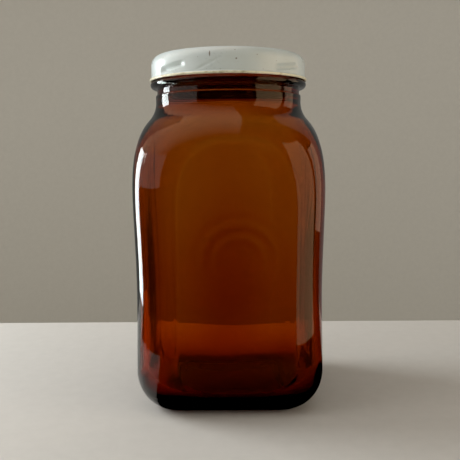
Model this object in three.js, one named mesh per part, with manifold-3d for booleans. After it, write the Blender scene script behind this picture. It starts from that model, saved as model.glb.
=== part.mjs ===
// A one-litre wide-mouth reagent bottle: a square amber glass bottle with a round neck and a
// four-start lug finish, closed by a pressed tinplate lug cap that holds a loose two-layer wad.
// Millimetres, +Z up. The origin is the middle of the base, and the front faces -Y.
import * as THREE from "three";
import { mergeVertices } from "three/addons/utils/BufferGeometryUtils.js";
import Module from "manifold-3d";

const wasm = await Module();
wasm.setup();

const { degToRad, lerp, smoothstep } = THREE.MathUtils;
const NO_LIMIT = 1000; // a section size too large to shape anything

// ---- Driving dimensions ----

// The square body. Its sides draw in slightly at the waist.
const body = { corner: 22.5, heelHalfWidth: 46.8, waistHalfWidth: 46.2, topHalfWidth: 47.3 };
body.waistHeight = 58;
body.topHeight = 117;

// The heel rounds the body into a flat bearing ring, inside which the base is pushed up.
const heel = { height: 19, inset: 16.5, ringWidth: 3.6, pushUpStep: 0.8, pushUp: 3 };

// The shoulder is a dome that the square sides cut into, with a fillet where it meets the neck.
const shoulder = { domeHeight: 86.5, domeOffset: -7.2, domeRadius: 75, filletRadius: 12, blend: 11.6 };

// The round neck: a plain ring, a groove, the transfer bead, then the finish wall up to the lip.
// The bore is straight down to its bottom, then flares out to the inside of the shoulder.
const neck = { radius: 37.35, edge: 0.5, ringTop: 156.2, grooveRadius: 36.6 };
neck.boreRadius = 32;
neck.boreBottom = 158;
neck.flareBottom = 149.6;
neck.bead = { radius: 40, height: 161.2, halfHeight: 2.2 };
neck.finishRadius = 36.9;
neck.lipHeight = 174.05;
neck.lipEdge = 1.1;

// Glass thickness, measured straight out from the axis, and the inside of the base.
const wall = { shoulder: 3.5, side: 3.4, heel: 4.4 };
const floor = { height: 8.2, heelHeight: 14, heelInset: 13 };

// The lug finish: interrupted threads on the glass and pressed lugs in the cap share one lead.
const finish = { starts: 4, lead: 30, firstLugAngle: -43.5 };
const thread = { radius: 38.6, height: 170.5, crest: 1.3, root: 2.4, from: -20, to: 26 };
const lug = { height: 168.2, depth: 1.55, halfHeight: 2.1, halfAngle: 13.5 };

// The cap: tinplate with a rounded top corner and an outward curl at its lower edge.
const cap = { top: 175.9, skirtRadius: 39.4, sheet: 0.3, cornerRadius: 4.8 };
cap.curl = { bottom: 163, radius: 0.66 };

// The wad: a pulpboard disc, crushed at its upper edge to fit the cap, and a thin facing under it.
const wad = { radius: 37.3, crushedRadius: 34.8, facing: 0.2, board: 1.2, gap: 0.05 };

const GLASS_SEGMENTS = 64;
const CAP_SEGMENTS = 84;
const WAD_SEGMENTS = 48;

// ---- Section and solid helpers ----

// Distance from the axis to a round-cornered square's outline, at an angle about the axis.
function squareRadius(halfWidth, corner, angle) {
  const quarter = Math.PI / 2;
  const fromSide = Math.abs(angle - quarter * Math.round(angle / quarter));
  const straight = halfWidth - corner;
  if (Math.tan(fromSide) * halfWidth <= straight) return halfWidth / Math.cos(fromSide);
  const centre = straight * Math.SQRT2;
  const fromCorner = Math.PI / 4 - fromSide;
  return centre * Math.cos(fromCorner) + Math.sqrt(corner ** 2 - (centre * Math.sin(fromCorner)) ** 2);
}

// The smaller of two radii, rounded off where they are within the blend of each other.
function smoothMin(a, b, blend) {
  const closeness = Math.max(blend - Math.abs(a - b), 0);
  return Math.min(a, b) - closeness ** 2 / (4 * blend);
}

// Evenly spaced numbers from one end to the other, both included.
function steps(from, to, count) {
  return Array.from({ length: count + 1 }, (_, i) => lerp(from, to, i / count));
}

// A surface turned about +Z: a lathe whose rings are then drawn out to radiusAt(station, angle).
function turned(stations, segments, radiusAt, angleOf = (turn) => turn) {
  const outline = stations.map((station) => new THREE.Vector2(1, station.height));
  const geometry = new THREE.LatheGeometry(outline, segments);
  const position = geometry.getAttribute("position");
  for (let i = 0; i <= segments; i++) {
    const angle = i === segments ? 0 : angleOf((i / segments) * 2 * Math.PI);
    stations.forEach((station, j) => {
      const radius = radiusAt(station, angle);
      const x = radius * Math.cos(angle);
      const y = radius * Math.sin(angle);
      position.setXYZ(i * stations.length + j, x, y, station.height);
    });
  }
  return geometry;
}

// The geometry as a solid that can be joined to others.
function solid(geometry) {
  geometry.deleteAttribute("normal");
  geometry.deleteAttribute("uv");
  const merged = mergeVertices(geometry, 1e-3);
  const vertProperties = merged.getAttribute("position").array;
  const triVerts = new Uint32Array(merged.index.array);
  return new wasm.Manifold(new wasm.Mesh({ numProp: 3, vertProperties, triVerts }));
}

function geometryOf(joined) {
  const { vertProperties, triVerts } = joined.getMesh();
  const geometry = new THREE.BufferGeometry();
  geometry.setAttribute("position", new THREE.BufferAttribute(vertProperties, 3));
  geometry.setIndex(new THREE.BufferAttribute(triVerts, 1));
  geometry.computeVertexNormals();
  return geometry;
}

// ---- The glass bottle ----

// The side's distance from the axis, from the heel through the waist to the top of the body.
function bodyHalfWidth(height) {
  const belowWaist = 1 - smoothstep(height, heel.height, body.waistHeight);
  const aboveWaist = smoothstep(height, body.waistHeight, body.topHeight);
  const lower = lerp(body.waistHalfWidth, body.heelHalfWidth, belowWaist);
  return lerp(lower, body.topHalfWidth, aboveWaist);
}

// The dome's radius at a height, up to where the fillet takes over.
function domeRadius(height) {
  const rise = Math.max(height - shoulder.domeHeight, 0);
  return shoulder.domeOffset + Math.sqrt(shoulder.domeRadius ** 2 - rise ** 2);
}

// The fillet's centre, and the height where it leaves the dome.
function shoulderFillet() {
  const radius = neck.radius + shoulder.filletRadius;
  const reach = shoulder.domeRadius + shoulder.filletRadius;
  const across = radius - shoulder.domeOffset;
  const height = shoulder.domeHeight + Math.sqrt(reach ** 2 - across ** 2);
  const start = lerp(shoulder.domeHeight, height, shoulder.domeRadius / reach);
  return { radius, height, start };
}

// The round part of the shoulder, dome then fillet.
function shoulderRadius(height) {
  const fillet = shoulderFillet();
  if (height <= fillet.start) return domeRadius(height);
  const below = Math.max(fillet.height - height, 0);
  return fillet.radius - Math.sqrt(shoulder.filletRadius ** 2 - below ** 2);
}

// One ring of the glass: the square that bounds it, the circle that bounds it, and its height.
function squareStation(height, halfWidth, corner) {
  return { height, halfWidth, corner, round: NO_LIMIT };
}

function roundStation(height, round) {
  return { height, halfWidth: NO_LIMIT, corner: 0, round };
}

function shoulderStation(height, inset) {
  const halfWidth = bodyHalfWidth(height) - inset;
  return { height, halfWidth, corner: body.corner - inset, round: shoulderRadius(height) - inset };
}

// A quarter ellipse from a flat at the bottom up into a side that lies a thickness in from the outside.
function heelStations(bottom, rise, thickness, inset, count) {
  return steps(0, Math.PI / 2, count).map((turn) => {
    const drawnIn = thickness + inset * (1 - Math.sin(turn));
    return {
      height: bottom + rise * (1 - Math.cos(turn)),
      halfWidth: body.heelHalfWidth - drawnIn,
      corner: body.corner - drawnIn,
      round: domeRadius(bottom) - thickness,
    };
  });
}

function baseStations() {
  const ringOuter = body.heelHalfWidth - heel.inset;
  const ringInner = ringOuter - heel.ringWidth;
  const corner = body.corner - heel.inset;
  return [
    squareStation(heel.pushUp, 0, 0),
    squareStation(heel.pushUp, ringInner / 2, corner / 2),
    squareStation(heel.pushUpStep, ringInner - 1, corner),
    squareStation(0, ringInner, corner),
  ];
}

// The neck's outside, from the top of the shoulder to the lip and over it into the bore.
function neckStations() {
  const { bead } = neck;
  const wallTop = neck.lipHeight - neck.lipEdge;
  const beadArc = steps(-Math.PI / 2, Math.PI / 2, 6).map((turn) => {
    const out = (bead.radius - neck.finishRadius) * Math.cos(turn);
    return roundStation(bead.height + bead.halfHeight * Math.sin(turn), neck.finishRadius + out);
  });
  const lipArc = steps(0, Math.PI / 2, 2).map((turn) => {
    const drawnIn = neck.lipEdge * (1 - Math.cos(turn));
    return roundStation(wallTop + neck.lipEdge * Math.sin(turn), neck.finishRadius - drawnIn);
  });
  return [
    roundStation(neck.ringTop - neck.edge, neck.radius),
    roundStation(neck.ringTop, neck.radius - neck.edge),
    roundStation(neck.ringTop + neck.edge, neck.grooveRadius),
    ...beadArc,
    ...lipArc,
    roundStation(neck.lipHeight, neck.boreRadius + neck.lipEdge),
    roundStation(wallTop, neck.boreRadius),
  ];
}

function outsideStations() {
  const fillet = shoulderFillet();
  const sides = steps(heel.height, shoulder.domeHeight, 5).slice(1);
  const dome = steps(shoulder.domeHeight, fillet.start, 12).slice(1);
  const curve = steps(fillet.start, fillet.height, 4).slice(1);
  return [
    ...baseStations(),
    ...heelStations(0, heel.height, 0, heel.inset, 6),
    ...[...sides, ...dome, ...curve].map((height) => shoulderStation(height, 0)),
  ];
}

// The inside, from the bore down to the middle of the floor.
function insideStations() {
  const heelTop = floor.height + floor.heelHeight;
  const upper = steps(neck.flareBottom, shoulder.domeHeight, 11);
  const lower = steps(shoulder.domeHeight, heelTop, 3).slice(1, -1);
  const thickness = (height) => lerp(wall.heel, wall.side, smoothstep(height, heelTop, body.topHeight));
  const curve = heelStations(floor.height, floor.heelHeight, wall.heel, floor.heelInset, 4);
  const domeInset = (height) => {
    const up = smoothstep(height, shoulder.domeHeight, neck.flareBottom);
    return lerp(thickness(height), wall.shoulder, up);
  };
  return [
    roundStation(neck.boreBottom, neck.boreRadius),
    ...upper.map((height) => shoulderStation(height, domeInset(height))),
    ...lower.map((height) => shoulderStation(height, thickness(height))),
    ...curve.reverse(),
    squareStation(floor.height, 0, 0),
  ];
}

function glassRadius(station, angle) {
  if (station.halfWidth === NO_LIMIT) return station.round;
  const square = squareRadius(station.halfWidth, station.corner, angle);
  return smoothMin(square, station.round, shoulder.blend);
}

// Rings have more points round the body's corners than along its sides.
function glassAngle(turn) {
  return turn + 0.1 * Math.sin(4 * turn);
}

// How far a helix of the finish's lead climbs over an angle in degrees.
function climb(degrees) {
  return (finish.lead * degrees) / 360;
}

// One interrupted thread: a box bent round the finish along the helix, run out into it at its ends.
function threadRidge(lugAngle) {
  const geometry = new THREE.BoxGeometry(1, 1, 1, 12, 1, 1);
  const position = geometry.getAttribute("position");
  const sunk = neck.finishRadius - 1;
  for (let i = 0; i < position.count; i++) {
    const along = position.getX(i) + 0.5;
    const offset = lerp(thread.from, thread.to, along);
    const runOut = smoothstep(along, 0, 0.12) * (1 - smoothstep(along, 0.88, 1));
    const isCrest = position.getZ(i) > 0;
    const radius = isCrest ? lerp(neck.finishRadius - 0.4, thread.radius, runOut) : sunk;
    const tall = isCrest ? thread.crest : thread.root;
    const height = thread.height + climb(offset) + position.getY(i) * tall;
    const angle = degToRad(lugAngle + offset);
    position.setXYZ(i, radius * Math.cos(angle), radius * Math.sin(angle), height);
  }
  return geometry;
}

function lugAngles() {
  return Array.from({ length: finish.starts }, (_, i) => finish.firstLugAngle + (360 / finish.starts) * i);
}

function bottleGlass() {
  const stations = [...outsideStations(), ...neckStations(), ...insideStations()];
  let glass = solid(turned(stations, GLASS_SEGMENTS, glassRadius, glassAngle));
  for (const angle of lugAngles()) glass = glass.add(solid(threadRidge(angle)));
  return geometryOf(glass);
}

// ---- The cap ----

// How far the skirt is pressed in by the lugs at an angle and a height.
function lugPress(angle, height) {
  const spacing = 360 / finish.starts;
  const degrees = THREE.MathUtils.radToDeg(angle) - finish.firstLugAngle;
  const offset = degrees - spacing * Math.round(degrees / spacing);
  const across = (height - lug.height - climb(offset)) / lug.halfHeight;
  const along = 1 - smoothstep(Math.abs(offset), lug.halfAngle * 0.6, lug.halfAngle);
  return lug.depth * along * (1 - smoothstep(Math.abs(across), 0.15, 1));
}

// The cap's section, from the middle of the underside round the curl to the middle of the top.
function capStations() {
  const { curl } = cap;
  const skirtInside = cap.skirtRadius - cap.sheet;
  const curlRadius = skirtInside + curl.radius;
  const curlHeight = curl.bottom + curl.radius;
  const station = (height, round) => ({ height, round });
  const corner = (radius, turn) => {
    const flat = cap.skirtRadius - cap.cornerRadius;
    const base = cap.top - cap.cornerRadius;
    return station(base + radius * Math.cos(turn), flat + radius * Math.sin(turn));
  };
  const skirtHeights = steps(cap.top - cap.cornerRadius, curlHeight + curl.radius, 9);
  const curlArc = steps(Math.PI, 2.35 * Math.PI, 6).map((turn) =>
    station(curlHeight + curl.radius * Math.sin(turn), curlRadius + curl.radius * Math.cos(turn)),
  );
  const cornerTurns = steps(0, Math.PI / 2, 4);
  return [
    station(cap.top - cap.sheet, 0),
    ...cornerTurns.map((turn) => corner(cap.cornerRadius - cap.sheet, turn)),
    ...skirtHeights.slice(1).map((height) => station(height, skirtInside)),
    ...curlArc,
    ...skirtHeights.slice(1, -1).reverse().map((height) => station(height, cap.skirtRadius)),
    ...cornerTurns.reverse().map((turn) => corner(cap.cornerRadius, turn)),
    station(cap.top, 0),
  ];
}

function capShell() {
  const pressed = (station, angle) => {
    const isSkirt = Math.abs(station.round - cap.skirtRadius) <= cap.sheet;
    return isSkirt ? station.round - lugPress(angle, station.height) : station.round;
  };
  return turned(capStations(), CAP_SEGMENTS, pressed);
}

// ---- The wad ----

// A flat disc standing on a height.
function disc(bottom, thickness, topRadius) {
  const geometry = new THREE.CylinderGeometry(topRadius, wad.radius, thickness, WAD_SEGMENTS);
  geometry.rotateX(Math.PI / 2);
  geometry.translate(0, 0, bottom + thickness / 2);
  return geometry;
}

// ---- The bottle, closed ----

function part(name, geometry, color, roughness, metalness = 0) {
  const mesh = new THREE.Mesh(geometry, new THREE.MeshStandardMaterial({ color, roughness, metalness }));
  mesh.name = name;
  return mesh;
}

const facingBottom = neck.lipHeight + wad.gap;
const boardBottom = facingBottom + wad.facing + wad.gap;

const reagentBottle = new THREE.Group();
reagentBottle.add(
  part("bottle_glass", bottleGlass(), 0x6b3205, 0.05),
  part("cap_shell", capShell(), 0xdedcd2, 0.35, 0.1),
  part("wad_board", disc(boardBottom, wad.board, wad.crushedRadius), 0xb9a888, 0.9),
  part("wad_facing", disc(facingBottom, wad.facing, wad.radius), 0xe9e7df, 0.4),
);

export default reagentBottle;
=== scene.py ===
"""Looks of the reagent bottle: a fine amber glass moulding, an enamelled tinplate cap and its wad.

Metres, +Z up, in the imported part's frame. Each fine piece stands for the CAD node of the same shape.
"""

import math

import bpy
import numpy as np
from mathutils import Matrix, Vector


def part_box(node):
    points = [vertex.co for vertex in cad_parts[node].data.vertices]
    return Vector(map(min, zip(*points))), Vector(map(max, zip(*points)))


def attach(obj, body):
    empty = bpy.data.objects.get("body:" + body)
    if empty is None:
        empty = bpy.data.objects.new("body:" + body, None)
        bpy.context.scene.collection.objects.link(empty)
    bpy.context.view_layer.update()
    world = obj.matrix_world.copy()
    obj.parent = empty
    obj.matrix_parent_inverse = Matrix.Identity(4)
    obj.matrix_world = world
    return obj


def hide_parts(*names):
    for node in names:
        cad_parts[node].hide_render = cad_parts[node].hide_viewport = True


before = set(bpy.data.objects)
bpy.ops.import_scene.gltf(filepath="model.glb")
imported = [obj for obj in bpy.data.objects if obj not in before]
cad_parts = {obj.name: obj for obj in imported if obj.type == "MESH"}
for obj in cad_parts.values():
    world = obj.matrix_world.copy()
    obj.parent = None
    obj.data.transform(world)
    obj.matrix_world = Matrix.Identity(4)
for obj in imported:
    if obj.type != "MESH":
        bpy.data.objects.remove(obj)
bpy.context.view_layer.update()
_, glass_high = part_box("bottle_glass")
cap_low, cap_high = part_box("cap_shell")
board_low, board_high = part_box("wad_board")
facing_low, facing_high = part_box("wad_facing")

MM = 0.001
NO_LIMIT = 1.0  # a section size too large to shape anything

# ---- The glass: outside sizes, with the body's largest half-width taken from the frame ----

TOP_SIDE = glass_high.x
WAIST_SIDE = TOP_SIDE - 1.1 * MM
HEEL_SIDE = TOP_SIDE - 0.5 * MM
CORNER = 22.5 * MM
WAIST_HEIGHT = 58 * MM
TOP_HEIGHT = 117 * MM
HEEL_HEIGHT = 19 * MM
HEEL_INSET = 16.5 * MM
RING_WIDTH = 3.6 * MM
PUSH_UP = 3 * MM
DOME_HEIGHT = 86.5 * MM
DOME_OFFSET = -7.2 * MM
DOME_RADIUS = 75 * MM
FILLET_RADIUS = 12 * MM
BLEND = 11.6 * MM

NECK_RADIUS = 37.35 * MM
NECK_EDGE = 0.7 * MM
NECK_TOP = 156.2 * MM
GROOVE_RADIUS = 36.6 * MM
BORE_RADIUS = 31.6 * MM
BORE_BOTTOM = 161 * MM
FLARE_BOTTOM = 149.6 * MM
BEAD_RADIUS = 40 * MM
BEAD_HEIGHT = 161.2 * MM
BEAD_HALF = 2.2 * MM
FINISH_RADIUS = 36.9 * MM
LIP_HEIGHT = glass_high.z
LIP_EDGE = 1.1 * MM

# Glass thickness, straight out from the axis, and the inside of the base.
SHOULDER_WALL = 3.5 * MM
SIDE_WALL = 3.4 * MM
HEEL_WALL = 4.4 * MM
FLOOR_HEIGHT = 8.2 * MM
FLOOR_RISE = 16 * MM
FLOOR_INSET = 11 * MM
FLOOR_DISH = 0.9 * MM
BOWL_RADIUS = 36 * MM  # the circle that rounds the floor's corners

# Relief on the body. The outside is drawn in by the skin's depth, so that it stays inside the CAD's box.
SKIN = 0.2 * MM
PANEL_STEP = 0.12 * MM  # how far the corners stand out from the arched panels
SEAM_RISE = 0.07 * MM
OUTSIDE_WAVE = 0.05 * MM
INSIDE_WAVE = 0.22 * MM
INSIDE_STREAK = 0.03 * MM
ARCH_GROOVE = 0.55 * MM  # cut into the inside, along the arch
ARCH_WIDTH = 1.5 * MM
SETTLE_DEPTH = 0.32 * MM
EXTRA_GLASS = 1.4 * MM  # low in the middle of each side
RELIEF_STARTS = (6 * MM, 22 * MM)  # the heights where the relief fades in above the heel
RELIEF_ENDS = (140 * MM, 152 * MM)  # and out again below the neck

# The lug finish, in degrees about the axis, and the lead that its threads and lugs share. The cap's lugs
# sit a little lower than in the CAD, as in the photo.
STARTS = 4
LEAD = 30 * MM
FIRST_LUG = -43.5
THREAD_RADIUS = 38.6 * MM
THREAD_HEIGHT = 170.5 * MM
THREAD_FROM = -20
THREAD_TO = 26
LUG_HEIGHT = 167.2 * MM
LUG_DEPTH = 1.5 * MM
LUG_HALF_HEIGHT = 2.1 * MM
LUG_HALF_ANGLE = 13.5

# ---- The cap ----

CAP_TOP = cap_high.z
SHEET = 0.3 * MM
CURL_RADIUS = 0.66 * MM
CURL_OUT = cap_high.x
SKIRT_RADIUS = CURL_OUT - 2 * CURL_RADIUS + SHEET
CURL_HEIGHT = cap_low.z + CURL_RADIUS
CAP_CORNER = 4.8 * MM
CHIPS = [  # the middle of each chip in the enamel, and its reach along X, Y and Z
    ((-8.4 * MM, -38.4 * MM, CAP_TOP - 3.9 * MM), (0.35 * MM, 3 * MM, 1.3 * MM)),
    ((3.8 * MM, -39.0 * MM, CAP_TOP - 6.2 * MM), (0.45 * MM, 3 * MM, 0.4 * MM)),
]
CREASE_DEPTH = 0.22 * MM
HOLLOW_DEPTH = 0.12 * MM
TOP_SAG = 0.12 * MM
CRUSHED_EDGE = 2.5 * MM  # how far in the cap's corner crushes the top of the wad

FRONT = -90.0  # degrees about +Z of the side that faces the camera


# ---- Section helpers, on numpy arrays ----


def smoothstep(value, low, high):
    share = np.clip((value - low) / (high - low), 0, 1)
    return share * share * (3 - 2 * share)


def mix(a, b, share):
    return a + (b - a) * share


def smooth_min(a, b, blend):
    """The smaller of two radii, rounded off where they are within the blend of each other."""
    closeness = np.maximum(blend - np.abs(a - b), 0)
    return np.minimum(a, b) - closeness**2 / (4 * blend)


def square_radius(half_width, corner, angle):
    """Distance from the axis to a round-cornered square's outline, at an angle about the axis."""
    quarter = math.pi / 2
    from_side = np.abs(angle - quarter * np.round(angle / quarter))
    straight = half_width - corner
    flat = half_width / np.cos(from_side)
    centre = straight * math.sqrt(2)
    from_corner = math.pi / 4 - from_side
    across = np.maximum(corner**2 - (centre * np.sin(from_corner)) ** 2, 0)
    arc = centre * np.cos(from_corner) + np.sqrt(across)
    return np.where(np.tan(from_side) * half_width <= straight, flat, arc)


def bell(value, centre, width):
    """A smooth bump, 1 at its centre."""
    return np.exp(-(((value - centre) / width) ** 2))


def degrees_from(angle, centre, period=360.0):
    """Signed degrees from the nearest of the centres that repeat each period."""
    offset = np.degrees(angle) - centre
    return offset - period * np.round(offset / period)


# ---- Mesh helpers ----


def section(height, radius):
    """Part of a turned piece's section, as rows of height and radius."""
    return np.stack(np.broadcast_arrays(height, radius), axis=-1)


def mesh_object(name, vertices, faces, materials, smooth):
    mesh = bpy.data.meshes.new(name)
    mesh.from_pydata(vertices, [], faces)
    mesh.update()
    mesh.polygons.foreach_set("use_smooth", np.full(len(mesh.polygons), smooth))
    for material in materials:
        mesh.materials.append(material)
    thing = bpy.data.objects.new(name, mesh)
    bpy.context.scene.collection.objects.link(thing)
    return thing


def turned_faces(bands, segments):
    """Faces between rings of vertices, closed by a fan about each pole. The poles follow the rings."""
    step = np.arange(segments)
    after = (step + 1) % segments
    faces = []
    for band in range(bands):
        a = band * segments
        b = a + segments
        faces += np.stack([a + step, a + after, b + after, b + step], axis=1).tolist()
    last = bands * segments
    bottom_pole = last + segments
    top_pole = bottom_pole + 1
    faces += [(bottom_pole, int(j), int(i)) for i, j in zip(step, after)]
    faces += [(last + int(i), last + int(j), top_pole) for i, j in zip(step, after)]
    return faces


def turned_piece(name, radius, height, angle, materials):
    """A closed mesh of rings about the axis, whose first and last rings meet on the axis."""
    count, segments = radius.shape
    around = np.stack([radius * np.cos(angle), radius * np.sin(angle), height], axis=-1)[1:-1]
    poles = [(0, 0, float(height[0, 0])), (0, 0, float(height[-1, 0]))]
    vertices = np.concatenate([around.reshape(-1, 3), poles])
    faces = turned_faces(count - 3, segments)
    return mesh_object(name, vertices.tolist(), faces, materials, True)


def paint_faces(piece, finish_of):
    """Give each face the material that a function of all the faces' centres and normals picks."""
    polygons = piece.data.polygons

    def read(field):
        values = np.zeros(len(polygons) * 3)
        polygons.foreach_get(field, values)
        return values.reshape(-1, 3)

    index = finish_of(read("center"), read("normal"))
    polygons.foreach_set("material_index", index.astype(np.int32))


# ---- Material helper ----


class Shader:
    """A material whose nodes are added one call at a time."""

    def __init__(self, name):
        self.material = bpy.data.materials.new(name)
        self.material.use_nodes = True
        self.tree = self.material.node_tree
        self.tree.nodes.clear()
        self.output = self.tree.nodes.new("ShaderNodeOutputMaterial")

    def add(self, kind, inputs=None, **settings):
        """A node of a kind, with its settings, and its inputs set to values or linked to sockets."""
        node = self.tree.nodes.new("ShaderNode" + kind)
        for key, value in settings.items():
            setattr(node, key, value)
        for key, value in (inputs or {}).items():
            if isinstance(value, bpy.types.NodeSocket):
                self.tree.links.new(value, node.inputs[key])
            else:
                node.inputs[key].default_value = value
        return node

    def place(self):
        return self.add("TexCoord").outputs["Object"]

    def noise(self, scale, detail=3.0, roughness=0.5, place=None, distortion=0.0):
        values = {"Scale": scale, "Detail": detail, "Roughness": roughness, "Distortion": distortion}
        node = self.add("TexNoise", {**values, "Vector": place or self.place()})
        return node.outputs["Fac"]

    def remap(self, value, low, high, to_low=0.0, to_high=1.0):
        ends = {"From Min": low, "From Max": high, "To Min": to_low, "To Max": to_high}
        return self.add("MapRange", {"Value": value, **ends}).outputs["Result"]

    def maths(self, operation, a, b):
        return self.add("Math", {0: a, 1: b}, operation=operation).outputs[0]

    def blend(self, share, a, b):
        """A colour from a to b. On the Mix node, sockets 6 and 7 are its colours, and output 2 the result."""
        return self.add("Mix", {0: share, 6: a, 7: b}, data_type="RGBA").outputs[2]

    def bump(self, height, strength, distance):
        values = {"Height": height, "Strength": strength, "Distance": distance}
        return self.add("Bump", values).outputs["Normal"]

    def connect(self, node, socket):
        """Send a node's result to the material's Surface or Volume."""
        self.tree.links.new(node.outputs[0], self.output.inputs[socket])

    def surface(self, **inputs):
        values = {key.replace("_", " "): value for key, value in inputs.items()}
        self.connect(self.add("BsdfPrincipled", values), "Surface")


def rgb(red, green, blue):
    return (red, green, blue, 1.0)


# ---- Materials ----


def amber_glass():
    shader = Shader("amber_glass")
    place = shader.place()
    smudges = shader.noise(38, 4, 0.6, place)
    roughness = shader.remap(smudges, 0.45, 0.75, 0.0, 0.045)
    skin = shader.noise(320, 2, 0.4, place)
    normal = shader.bump(skin, 0.05, 0.02 * MM)
    shader.surface(
        Base_Color=rgb(1, 1, 1),
        Roughness=roughness,
        IOR=1.5,
        Transmission_Weight=1.0,
        Normal=normal,
    )
    absorption = shader.add("VolumeAbsorption", {"Color": rgb(0.868, 0.608, 0.0), "Density": 900.0})
    shader.connect(absorption, "Volume")
    return shader.material


def chip(shader, place, centre, size):
    """1 inside a small ragged ellipsoid round a point of the surface, 0 outside."""
    offset = shader.add("VectorMath", {0: place, 1: centre}, operation="SUBTRACT").outputs[0]
    scaled = shader.add("VectorMath", {0: offset, 1: size}, operation="DIVIDE").outputs[0]
    away = shader.add("VectorMath", {0: scaled}, operation="LENGTH").outputs["Value"]
    ragged = shader.maths("ADD", away, shader.noise(1400, 3, 0.7, place))
    return shader.remap(ragged, 1.25, 1.55, 1.0, 0.0)


def enamel():
    shader = Shader("cap_enamel")
    place = shader.place()
    yellowing = shader.remap(shader.noise(45, 5, 0.6, place), 0.35, 0.75)
    colour = shader.blend(yellowing, rgb(0.68, 0.76, 0.77), rgb(0.63, 0.69, 0.66))
    specks = shader.remap(shader.noise(900, 2, 0.5, place), 0.72, 0.78)
    colour = shader.blend(specks, colour, rgb(0.16, 0.11, 0.07))
    stretched = shader.add("Mapping", {"Vector": place, "Scale": (60, 60, 900)}).outputs["Vector"]
    scuffs = shader.remap(shader.noise(2.2, 5, 0.7, stretched), 0.62, 0.8)
    colour = shader.blend(shader.maths("MULTIPLY", scuffs, 0.35), colour, rgb(0.36, 0.34, 0.30))
    for centre, size in CHIPS:
        colour = shader.blend(chip(shader, place, centre, size), colour, rgb(0.25, 0.23, 0.20))
    roughness = shader.remap(shader.noise(120, 4, 0.6, place), 0.3, 0.7, 0.24, 0.42)
    peel = shader.noise(700, 2, 0.5, place)
    normal = shader.bump(peel, 0.12, 0.03 * MM)
    shader.surface(
        Base_Color=colour,
        Roughness=roughness,
        Normal=normal,
        Coat_Weight=0.25,
        Coat_Roughness=0.12,
    )
    return shader.material


def lacquer(name, clean, tarnished):
    shader = Shader(name)
    place = shader.place()
    tarnish = shader.remap(shader.noise(260, 4, 0.6, place), 0.5, 0.72)
    colour = shader.blend(tarnish, clean, tarnished)
    roughness = shader.remap(shader.noise(500, 3, 0.6, place), 0.3, 0.7, 0.22, 0.45)
    normal = shader.bump(shader.noise(1500, 2, 0.5, place), 0.1, 0.02 * MM)
    shader.surface(Base_Color=colour, Metallic=0.1, Roughness=roughness, Normal=normal)
    return shader.material


def pulpboard():
    shader = Shader("wad_pulpboard")
    place = shader.place()
    fibres = shader.add("Mapping", {"Vector": place, "Scale": (1, 1, 14)}).outputs["Vector"]
    pulp = shader.noise(420, 6, 0.7, fibres, 0.6)
    colour = shader.blend(pulp, rgb(0.30, 0.23, 0.15), rgb(0.56, 0.47, 0.34))
    normal = shader.bump(pulp, 0.5, 0.15 * MM)
    shader.surface(Base_Color=colour, Roughness=0.92, Normal=normal)
    return shader.material


def facing_film():
    shader = Shader("wad_film")
    place = shader.place()
    stains = shader.remap(shader.noise(60, 5, 0.65, place), 0.5, 0.72)
    colour = shader.blend(stains, rgb(0.20, 0.17, 0.13), rgb(0.11, 0.08, 0.05))
    roughness = shader.remap(shader.noise(200, 3, 0.5, place), 0.3, 0.7, 0.25, 0.5)
    normal = shader.bump(shader.noise(900, 3, 0.5, place), 0.15, 0.03 * MM)
    shader.surface(Base_Color=colour, Roughness=roughness, Normal=normal)
    return shader.material


# ---- The glass bottle ----


def body_side(height):
    """The side's distance from the axis, from the heel through the waist to the top of the body."""
    below = 1 - smoothstep(height, HEEL_HEIGHT, WAIST_HEIGHT)
    above = smoothstep(height, WAIST_HEIGHT, TOP_HEIGHT)
    return mix(mix(WAIST_SIDE, HEEL_SIDE, below), TOP_SIDE, above)


def dome_radius(height):
    rise = np.clip(height - DOME_HEIGHT, 0, DOME_RADIUS)
    return DOME_OFFSET + np.sqrt(DOME_RADIUS**2 - rise**2)


def shoulder_fillet():
    """The fillet centre's radius and height, and the height where the fillet leaves the dome."""
    radius = NECK_RADIUS + FILLET_RADIUS
    reach = DOME_RADIUS + FILLET_RADIUS
    height = DOME_HEIGHT + math.sqrt(reach**2 - (radius - DOME_OFFSET) ** 2)
    return radius, height, mix(DOME_HEIGHT, height, DOME_RADIUS / reach)


def shoulder_radius(height):
    radius, top, start = shoulder_fillet()
    below = np.clip(top - height, 0, FILLET_RADIUS)
    fillet = radius - np.sqrt(FILLET_RADIUS**2 - below**2)
    return np.where(height <= start, dome_radius(height), fillet)


def rings(height, side, corner, circle):
    """Rings as rows of height, square half-width, square corner radius and bounding circle."""
    return np.stack(np.broadcast_arrays(height, side, corner, circle), axis=-1)


def round_rings(height, circle):
    return rings(height, NO_LIMIT, 0.0, circle)


def heel_rings(bottom, rise, wall, inset, circle, count):
    """A quarter ellipse from a flat at the bottom up into a side that lies a wall in."""
    turn = np.linspace(0, math.pi / 2, count)
    drawn_in = wall + inset * (1 - np.sin(turn))
    height = bottom + rise * (1 - np.cos(turn))
    bounds = mix(circle, dome_radius(0), np.sin(turn)) - wall
    return rings(height, HEEL_SIDE - drawn_in, CORNER - drawn_in, bounds)


def shoulder_rings(height, wall):
    return rings(height, body_side(height) - wall, CORNER - wall, shoulder_radius(height) - wall)


def base_rings():
    ring_outer = HEEL_SIDE - HEEL_INSET
    ring_inner = ring_outer - RING_WIDTH
    share = np.linspace(0, 1, 24)
    side = ring_inner * share
    step = smoothstep(share, 0.9, 1.0)
    height = PUSH_UP * (1 - 0.35 * share**2) * (1 - step)
    return rings(height, side, (CORNER - HEEL_INSET) * share, NO_LIMIT)


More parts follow.
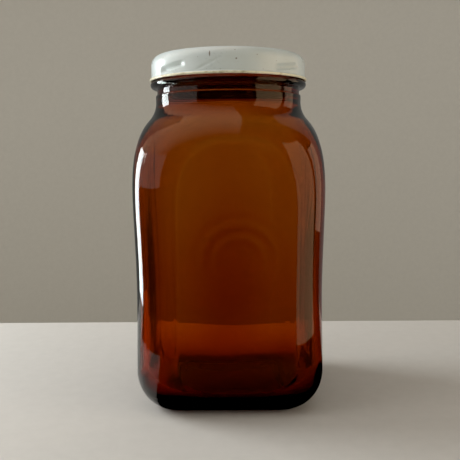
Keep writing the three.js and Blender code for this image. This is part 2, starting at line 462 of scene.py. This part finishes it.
def bead_rings():
    """The transfer bead, half an ellipse that stands out of the finish wall."""
    turn = np.linspace(-math.pi / 2, math.pi / 2, 19)
    out = FINISH_RADIUS + (BEAD_RADIUS - FINISH_RADIUS) * np.cos(turn)
    return round_rings(BEAD_HEIGHT + BEAD_HALF * np.sin(turn), out)


def lip_rings():
    """Over the lip's rounded edges, from the finish wall to the bore."""
    wall_top = LIP_HEIGHT - LIP_EDGE
    turn = np.linspace(0, math.pi / 2, 7)
    outer = round_rings(wall_top + LIP_EDGE * np.sin(turn), FINISH_RADIUS - LIP_EDGE * (1 - np.cos(turn)))
    inner = round_rings(wall_top + LIP_EDGE * np.cos(turn), BORE_RADIUS + LIP_EDGE * (1 - np.sin(turn)))
    return np.concatenate([outer, inner])


def neck_rings():
    """Up the neck, over its edge, past the groove and the bead, up the finish wall and over the lip."""
    _, fillet_top, _ = shoulder_fillet()
    edge_bottom = NECK_TOP - NECK_EDGE
    neck = np.linspace(fillet_top + 0.3 * MM, edge_bottom - 0.2 * MM, 4)
    turn = np.linspace(0, math.pi / 2, 6)
    edge = round_rings(edge_bottom + NECK_EDGE * np.sin(turn), NECK_RADIUS - NECK_EDGE * (1 - np.cos(turn)))
    groove = np.linspace(NECK_TOP + 0.2 * MM, BEAD_HEIGHT - BEAD_HALF - 0.3 * MM, 5)
    finish = np.linspace(BEAD_HEIGHT + BEAD_HALF + 0.25 * MM, LIP_HEIGHT - LIP_EDGE - 0.1 * MM, 40)
    return np.concatenate(
        [
            round_rings(neck, NECK_RADIUS),
            edge,
            round_rings(groove, GROOVE_RADIUS),
            bead_rings(),
            round_rings(finish, FINISH_RADIUS),
            lip_rings(),
        ]
    )


def inside_wall(height):
    """The wall's thickness at a height, straight out from the axis."""
    side = mix(HEEL_WALL, SIDE_WALL, smoothstep(height, FLOOR_HEIGHT + FLOOR_RISE, TOP_HEIGHT))
    return mix(side, SHOULDER_WALL, smoothstep(height, DOME_HEIGHT, FLARE_BOTTOM))


def inside_rings():
    """From the bottom of the bore out through its flare, down the body and in to the middle of the floor."""
    flare = np.linspace(0, 1, 12)[:-1]
    flare_radius = float(shoulder_radius(FLARE_BOTTOM)) - SHOULDER_WALL
    flare_rings = round_rings(mix(BORE_BOTTOM, FLARE_BOTTOM, flare), mix(BORE_RADIUS, flare_radius, flare))
    body = np.linspace(FLARE_BOTTOM, FLOOR_HEIGHT + FLOOR_RISE, 170)[:-1]
    bowl = heel_rings(FLOOR_HEIGHT, FLOOR_RISE, HEEL_WALL, FLOOR_INSET, BOWL_RADIUS + HEEL_WALL, 30)[::-1]
    share = np.linspace(1, 0, 20)[1:]
    floor_side = (HEEL_SIDE - HEEL_WALL - FLOOR_INSET) * share
    floor_corner = np.maximum(CORNER - HEEL_WALL - FLOOR_INSET, 0) * share
    floor_height = FLOOR_HEIGHT - FLOOR_DISH * (1 - share**2)
    floor = rings(floor_height, floor_side, floor_corner, BOWL_RADIUS * share + BLEND * (1 - share))
    return np.concatenate([flare_rings, shoulder_rings(body, inside_wall(body)), bowl, floor])


def thread_rise(angle, height):
    """How far the interrupted threads stand out of the finish wall."""
    offset = degrees_from(angle, FIRST_LUG, 360.0 / STARTS)
    run_in = 6
    started = smoothstep(offset, THREAD_FROM, THREAD_FROM + run_in)
    ended = smoothstep(offset, THREAD_TO - run_in, THREAD_TO)
    along = started * (1 - ended)
    across = np.abs(height - THREAD_HEIGHT - LEAD * offset / 360)
    profile = 1 - smoothstep(across, 0.55 * MM, 1.2 * MM)
    return (THREAD_RADIUS - FINISH_RADIUS) * along * profile


def seam(angle, width):
    """The mould's two parting lines, up opposite corners of the body, a width in degrees across."""
    return bell(degrees_from(angle, 45.0, 180.0), 0, width)


def across_panel(angle, radius):
    """Signed distance across the nearest side of the body, from its middle."""
    quarter = np.degrees(angle) / 90.0
    return radius * np.sin(np.radians(90.0 * (quarter - np.round(quarter))))


def panel_edge(angle, radius, height):
    """Signed distance outside the arch where the flat of each side ends."""
    half_width = 27.5 * MM
    off_centre = 3.3 * MM
    spring = 100 * MM
    rise = 32 * MM
    foot = 26 * MM
    drop = 14 * MM
    power = 2.6
    up = np.maximum(height - spring, 0) / rise
    down = np.maximum(foot - height, 0) / drop
    sideways = np.abs(across_panel(angle, radius) - off_centre) / half_width
    return half_width * ((sideways**power + up**power + down**power) ** (1 / power) - 1)


def panel_middle(angle, radius, height):
    """Each side's glass is thickest low in its middle, where it chilled first: 1 there, down to 0."""
    return bell(across_panel(angle, radius), 0, 19 * MM) * bell(height, 58 * MM, 44 * MM)


def waves(angle, height, seed, modes, lengths):
    """Smooth waviness from -1 to 1: a few sine waves round and up the glass, with seeded phases."""
    random = np.random.default_rng(seed)
    total = np.zeros(np.broadcast(angle, height).shape)
    for mode in modes:
        length = random.uniform(*lengths)
        turn, rise = random.uniform(0, 2 * math.pi, 2)
        total += np.sin(mode * angle + turn + np.sin(2 * math.pi * height / length + rise))
    return total / len(modes)


def settle_arcs(angle, radius, height):
    """Arcs that the chilled glass left on the inside of the front, above the one point they centre on."""
    centre_x = 5 * MM
    centre_height = 76 * MM
    spacing = 4.2 * MM
    reach = np.hypot(radius * np.cos(angle) - centre_x, height - centre_height)
    front = smoothstep(-np.sin(angle), 0.5, 0.8)
    ring = smoothstep(reach, 4 * MM, 11 * MM) * (1 - smoothstep(reach, 14 * MM, 30 * MM))
    upper = smoothstep(height, 62 * MM, 84 * MM)
    return front * ring * upper * np.sin(2 * math.pi * (reach / spacing) ** 0.8)


def outer_relief(angle, radius, height):
    """What the mould left on the outside of the body."""
    edge = panel_edge(angle, radius, height)
    return (
        PANEL_STEP * smoothstep(edge, -1.6 * MM, 0.8 * MM)
        + OUTSIDE_WAVE * waves(angle, height, 3, (2, 3, 5, 8), (0.05, 0.13))
        + SEAM_RISE * seam(angle, 0.35)
        - SKIN
    )


def inner_relief(angle, radius, height):
    """What the blowing left on the inside of the body."""
    return (
        ARCH_GROOVE * bell(panel_edge(angle, radius, height), 0, ARCH_WIDTH)
        + INSIDE_WAVE * waves(angle, height, 11, (2, 3, 4, 6, 9), (0.04, 0.12))
        + INSIDE_STREAK * waves(angle, height, 23, (23, 31, 44), (0.2, 0.5))
        + SETTLE_DEPTH * settle_arcs(angle, radius, height)
        - EXTRA_GLASS * panel_middle(angle, radius, height)
    )


def bottle_glass():
    _, fillet_top, _ = shoulder_fillet()
    body = np.linspace(HEEL_HEIGHT, fillet_top, 170)[1:]
    heel = heel_rings(0, HEEL_HEIGHT, 0, HEEL_INSET, dome_radius(0), 26)
    outside = np.concatenate([base_rings(), heel, shoulder_rings(body, 0)])
    neck = neck_rings()
    every = np.concatenate([outside, neck, inside_rings()])

    turn = np.linspace(0, 2 * math.pi, 480, endpoint=False)
    angle = (turn + 0.1 * np.sin(4 * turn))[None, :]  # closer together at the corners
    height, side, corner, circle = (every[:, i, None] for i in range(4))
    square = square_radius(side, np.maximum(corner, 0), angle)
    radius = np.where(side >= NO_LIMIT, circle + 0 * angle, smooth_min(square, circle, BLEND))

    index = np.arange(len(every))[:, None]
    is_outside = index < len(outside)
    is_inside = index >= len(outside) + len(neck)
    is_finish = ~is_outside & ~is_inside & (height > BEAD_HEIGHT + BEAD_HALF)
    is_side = smoothstep(height, *RELIEF_STARTS) * (1 - smoothstep(height, *RELIEF_ENDS))
    outer = is_side * outer_relief(angle, radius, height)
    inner = is_side * inner_relief(angle, radius, height)
    radius = radius + np.where(is_outside, outer, 0) + np.where(is_inside, inner, 0)
    radius = radius + np.where(is_finish, thread_rise(angle, height), 0)
    radius[0] = 0
    radius[-1] = 0

    piece = turned_piece("amber_bottle", radius, height + 0 * angle, angle, [amber_glass()])
    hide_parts("bottle_glass")
    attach(piece, "bottle")


# ---- The cap ----


def lug_press(angle, height):
    """How far the pressed lugs draw the skirt in."""
    offset = degrees_from(angle, FIRST_LUG, 360.0 / STARTS)
    across = (height - LUG_HEIGHT - LEAD * offset / 360) / LUG_HALF_HEIGHT
    along = 1 - smoothstep(np.abs(offset), LUG_HALF_ANGLE * 0.55, LUG_HALF_ANGLE)
    lower = 1 - smoothstep(-across, 0.1, 0.75)
    upper = 1 - smoothstep(across, 0.1, 1.15)
    return LUG_DEPTH * along * lower * upper


def skirt_dents(angle, height):
    """Handling dents: one long slanting crease, front left, and a shallow hollow above it."""
    from_front = degrees_from(angle, FRONT)
    crease_middle = -14.6
    crease_height = CAP_TOP - 8.6 * MM + 0.32 * MM * (from_front - crease_middle)
    crease = bell(height, crease_height, 0.7 * MM) * bell(from_front, crease_middle, 9)
    hollow = bell(height, CAP_TOP - 6 * MM, 3.5 * MM) * bell(from_front, -2, 16)
    return CREASE_DEPTH * crease + HOLLOW_DEPTH * hollow


def cap_rings():
    """Rings from the middle of the underside, down inside, round the curl, and up over the top."""
    flat = SKIRT_RADIUS - CAP_CORNER
    base = CAP_TOP - CAP_CORNER
    inner_corner = CAP_CORNER - SHEET
    turn = np.linspace(0, math.pi / 2, 14)
    skirt = np.linspace(base, CURL_HEIGHT + CURL_RADIUS, 46)[1:-1]
    round_curl = np.linspace(math.pi, 2.35 * math.pi, 18)
    curl_out = CURL_OUT - CURL_RADIUS + CURL_RADIUS * np.cos(round_curl)
    return np.concatenate(
        [
            section(CAP_TOP - SHEET, np.linspace(0, flat, 10)[:-1]),
            section(base + inner_corner * np.cos(turn), flat + inner_corner * np.sin(turn)),
            section(skirt, SKIRT_RADIUS - SHEET),
            section(CURL_HEIGHT + CURL_RADIUS * np.sin(round_curl), curl_out),
            section(skirt[:-1][::-1], SKIRT_RADIUS),
            section(base + CAP_CORNER * np.cos(turn), flat + CAP_CORNER * np.sin(turn))[::-1],
            section(CAP_TOP, np.linspace(flat, 0, 24)[1:]),
        ]
    )


def cap_finish(centres, normals):
    """Which of the cap's materials each face has: 0 the enamel, 1 the rim's lacquer, 2 the inside's lacquer,
    painted near-black as shade.
    """
    out = np.hypot(centres[:, 0], centres[:, 1])
    outward = normals[:, 0] * centres[:, 0] + normals[:, 1] * centres[:, 1]
    is_curl = centres[:, 2] < CURL_HEIGHT + 0.75 * CURL_RADIUS
    is_under = (normals[:, 2] < -0.3) & (centres[:, 2] > CAP_TOP - CAP_CORNER)
    is_back = (outward < 0) & (out > SKIRT_RADIUS - 3 * MM) & (centres[:, 2] < CAP_TOP - CAP_CORNER)
    return np.where(is_curl, 1, np.where(is_under | is_back, 2, 0))


def cap_shell():
    height, out = (cap_rings()[:, i, None] for i in range(2))
    angle = np.linspace(0, 2 * math.pi, 420, endpoint=False)[None, :]
    radius = out + 0 * angle
    near_skirt = np.abs(out - SKIRT_RADIUS) <= SHEET + 1e-6
    is_skirt = near_skirt & (height < CAP_TOP - CAP_CORNER * 0.5)
    radius = radius - np.where(is_skirt, lug_press(angle, height), 0)
    fade = smoothstep(height, CURL_HEIGHT + CURL_RADIUS, CURL_HEIGHT + 3 * CURL_RADIUS)
    near_rim = smoothstep(out, SKIRT_RADIUS - 6 * MM, SKIRT_RADIUS - 1 * MM)
    radius = radius - fade * near_rim * skirt_dents(angle, height)
    is_top = height > CAP_TOP - 1.2 * SHEET
    height = height - np.where(is_top, TOP_SAG * bell(out, 0, 22 * MM), 0) + 0 * angle
    radius[0] = 0
    radius[-1] = 0

    rim = lacquer("rim_lacquer", rgb(0.90, 0.87, 0.66), rgb(0.55, 0.48, 0.32))
    # The inside's lacquer is painted near-black as painted shade, so the neck under the cap looks dark
    # through the glass.
    inside = lacquer("inside_lacquer_painted_shade", rgb(0.10, 0.075, 0.045), rgb(0.06, 0.04, 0.025))
    piece = turned_piece("tinplate_cap", radius, height, angle, [enamel(), rim, inside])
    paint_faces(piece, cap_finish)
    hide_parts("cap_shell")
    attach(piece, "cap")


# ---- The wad ----


def lip_print(radius):
    """The groove that the bottle's lip presses into the wad."""
    middle = (FINISH_RADIUS + BORE_RADIUS) / 2
    return bell(radius, middle, 1.1 * MM)


def wad_disc(name, low, high, top_radius, print_depth, material):
    """A disc with softly rounded edges and the lip's print on its underside."""
    edge = min(0.25 * MM, (high.z - low.z) * 0.4)
    radius = high.x
    flat = np.linspace(0, radius - edge, 40)
    turn = np.linspace(0, math.pi / 2, 5)[1:]
    under = section(low.z + print_depth * lip_print(flat), flat)
    lower_edge = section(low.z + edge * (1 - np.cos(turn)), radius - edge + edge * np.sin(turn))
    upper_edge = section(high.z - edge * (1 - np.sin(turn)), top_radius - edge + edge * np.cos(turn))
    over = section(high.z, np.linspace(top_radius - edge, 0, 12)[1:])
    every = np.concatenate([under, lower_edge, upper_edge, over])
    angle = np.linspace(0, 2 * math.pi, 180, endpoint=False)[None, :]
    uneven = 0.0012 * np.sin(5 * angle) + 0.0006 * np.sin(17 * angle + 1) - 0.0018
    out = every[:, 1, None] * (1 + uneven)
    piece = turned_piece(name, out, every[:, 0, None] + 0 * angle, angle, [material])
    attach(piece, "wad")
    return piece


def wad():
    board = wad_disc("pulpboard_disc", board_low, board_high, board_high.x - CRUSHED_EDGE, 0.0, pulpboard())
    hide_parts("wad_board")
    facing = wad_disc("facing_disc", facing_low, facing_high, facing_high.x, 0.05 * MM, facing_film())
    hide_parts("wad_facing")


# ---- Stage, lights and camera ----


def stage_mesh(name, vertices, faces, material, smooth=False):
    """A mesh for the stage round the object."""
    thing = mesh_object(name, vertices, faces, [material], smooth)
    return thing


def level_sheet(name, x, y, z, material):
    corners = [(x[0], y[0], z), (x[1], y[0], z), (x[1], y[1], z), (x[0], y[1], z)]
    return stage_mesh(name, corners, [(0, 1, 2, 3)], material)


def paper(name, colour, roughness):
    shader = Shader(name)
    place = shader.place()
    tone = shader.remap(shader.noise(140, 5, 0.6, place), 0.2, 0.8, 0.96, 1.03)
    tinted = shader.add("VectorMath", {0: colour[:3], 1: tone}, operation="MULTIPLY").outputs[0]
    normal = shader.bump(shader.noise(900, 3, 0.6, place), 0.15, 0.1 * MM)
    shader.surface(Base_Color=tinted, Roughness=roughness, Normal=normal)
    return shader.material


def cove(material):
    """A plain round room: its floor, below the table, sweeps up into its wall."""
    reach = 0.95
    sweep = 0.08
    room_floor = -0.30
    room_height = 1.6
    turn = np.linspace(0, math.pi / 2, 16)
    out = np.concatenate([[0.4], reach - sweep + sweep * np.sin(turn), [reach]])
    up = np.concatenate([[0.0], sweep * (1 - np.cos(turn)), [room_height]]) + room_floor
    angle = np.linspace(0, 2 * math.pi, 96, endpoint=False)
    count = len(angle)
    vertices = [(r * math.cos(a), r * math.sin(a), z) for r, z in zip(out, up) for a in angle]
    vertices.append((0.0, 0.0, room_floor))
    faces = [
        (k * count + i, k * count + (i + 1) % count, (k + 1) * count + (i + 1) % count, (k + 1) * count + i)
        for k in range(len(out) - 1)
        for i in range(count)
    ]
    faces += [(len(vertices) - 1, (i + 1) % count, i) for i in range(count)]
    room = stage_mesh("cove", vertices, faces, material, smooth=True)
    room.visible_glossy = False


def area_light(name, place, size, energy, colour):
    """A soft rectangle of light, turned towards the bottle. Reflections see the cards in its place."""
    light = bpy.data.lights.new(name, "AREA")
    light.shape = "RECTANGLE"
    light.size, light.size_y = size
    light.energy = energy
    light.color = colour
    lamp = bpy.data.objects.new(name, light)
    lamp.location = place
    direction = Vector((0, 0, 0.09)) - lamp.location
    lamp.rotation_euler = direction.to_track_quat("-Z", "Y").to_euler()
    lamp.visible_camera = False
    lamp.visible_glossy = False
    lamp.visible_transmission = False
    bpy.context.scene.collection.objects.link(lamp)


def glow(name, colour, strength):
    shader = Shader(name)
    shader.connect(shader.add("Emission", {"Color": colour, "Strength": strength}), "Surface")
    return shader.material


def fading_glow(name, colour, strength):
    """A glow that fades out towards the camera."""
    shader = Shader(name)
    forward = shader.add("SeparateXYZ", {"Vector": shader.place()}).outputs["Y"]
    fade = shader.remap(forward, -1.15, -0.35, 0.0, strength)
    shader.connect(shader.add("Emission", {"Color": colour, "Strength": fade}), "Surface")
    return shader.material


def show_in_reflections_only(card):
    card.visible_camera = False
    card.visible_diffuse = False
    card.visible_transmission = False
    card.visible_volume_scatter = False
    card.visible_shadow = False


def round_card(name, azimuths, lower, upper, material):
    """A studio card bent round the bottle, between two edges given as a radius and a height.

    Azimuths are degrees leftwards from the camera's side.
    """
    turn = np.radians(np.linspace(*azimuths, 25))
    edges = [(-r * math.sin(a), -r * math.cos(a), z) for r, z in (lower, upper) for a in turn]
    count = len(turn)
    faces = [(i, i + 1, count + i + 1, count + i) for i in range(count - 1)]
    show_in_reflections_only(stage_mesh(name, edges, faces, material))


def reflectors():
    """What the gloss mirrors: a dark room, a tall window at the back left and paler walls round it, with
    painted shade over the table in front.
    """
    near = 0.40
    far = 0.60
    foot = -0.2  # below the table's top
    sill = 0.125
    on_floor = 0.5 * MM
    on_mat = 1 * MM
    black = glow("black_card", rgb(0, 0, 0), 0.0)
    peach = glow("peach_card", rgb(1.0, 0.82, 0.72), 0.65)
    window = glow("window_glow", rgb(0.92, 1.0, 1.0), 9.5)
    dim = glow("dim_card", rgb(1.0, 0.98, 0.9), 0.17)
    warm = glow("warm_card", rgb(1.0, 0.64, 0.33), 1.1)
    rear_warm = glow("rear_warm_card", rgb(1.0, 0.74, 0.50), 0.9)
    pink = fading_glow("pink_card", rgb(1.0, 0.66, 0.46), 0.9)
    # Black on the table in front, seen only in reflections: painted shade over the pale table there.
    round_card("front_shade_card", (-118, 47), (0.02, on_floor), (0.90, on_floor), black)
    round_card("left_mat", (47, 101), (0.17, on_floor), (0.62, on_floor), black)
    round_card("left_flag", (47, 101), (near, foot), (near, sill), black)
    round_card("left_wall", (47, 101), (near, sill), (near, 0.31), peach)
    round_card("window_card", (103, 121), (near, foot), (near, 0.27), window)
    round_card("back_wall", (122, 242), (far, foot), (far, 1.0), dim)
    round_card("right_wall_front", (-90, -42), (far, foot), (far, 0.62), warm)
    round_card("right_mat", (-90, -42), (0.20, on_mat), (far, on_mat), warm)
    round_card("right_wall_back", (-118, -96), (far, foot), (far, 0.42), rear_warm)
    round_card("door_edge", (-96, -90), (far, foot), (far, 0.42), black)
    show_in_reflections_only(level_sheet("ceiling_card", (-2.5, 0.13), (-1.2, 1.5), 1.0, pink))


def sky():
    """A soft even light from all round, which the gloss and the glass don't see."""
    world = bpy.data.worlds.new("soft_sky")
    world.use_nodes = True
    background = world.node_tree.nodes["Background"]
    background.inputs["Color"].default_value = rgb(1.0, 0.97, 0.92)
    background.inputs["Strength"].default_value = 0.56
    world.cycles_visibility.glossy = False
    world.cycles_visibility.transmission = False
    bpy.context.scene.world = world


def stage():
    floor_paper = paper("pale_paper", rgb(0.61, 0.592, 0.56), 0.75)
    level_sheet("pale_floor", (-0.26, 0.6), (-0.6, 0.135), 0, floor_paper)
    cove(paper("grey_paper", rgb(0.485, 0.463, 0.415), 0.8))
    area_light("window", (-0.80, 0.22, 0.46), (0.45, 0.7), 8.2, (0.97, 1.0, 1.0))
    area_light("left_fill", (-0.70, -0.30, 0.45), (0.4, 0.4), 1.6, (1.0, 0.97, 0.94))
    area_light("room", (0.75, -0.30, 0.25), (0.5, 0.4), 1.8, (1.0, 0.86, 0.70))
    bpy.context.scene.view_settings.view_transform = "Standard"


def camera():
    """The camera stands a little above the bottle's middle, looks down a little, and is barely rolled."""
    place = (0.47 * MM, -0.337, 0.1265)
    look_down = 0.1191
    roll = -0.006
    data = bpy.data.cameras.new("camera")
    data.lens = 49.9
    data.sensor_width = 36.0
    data.dof.use_dof = False
    eye = bpy.data.objects.new("camera", data)
    tilt = Matrix.Rotation(math.pi / 2 - look_down, 4, "X") @ Matrix.Rotation(roll, 4, "Z")
    eye.matrix_world = Matrix.Translation(place) @ tilt
    bpy.context.scene.collection.objects.link(eye)
    bpy.context.scene.camera = eye


camera()
sky()
stage()
reflectors()
bottle_glass()
cap_shell()
wad()
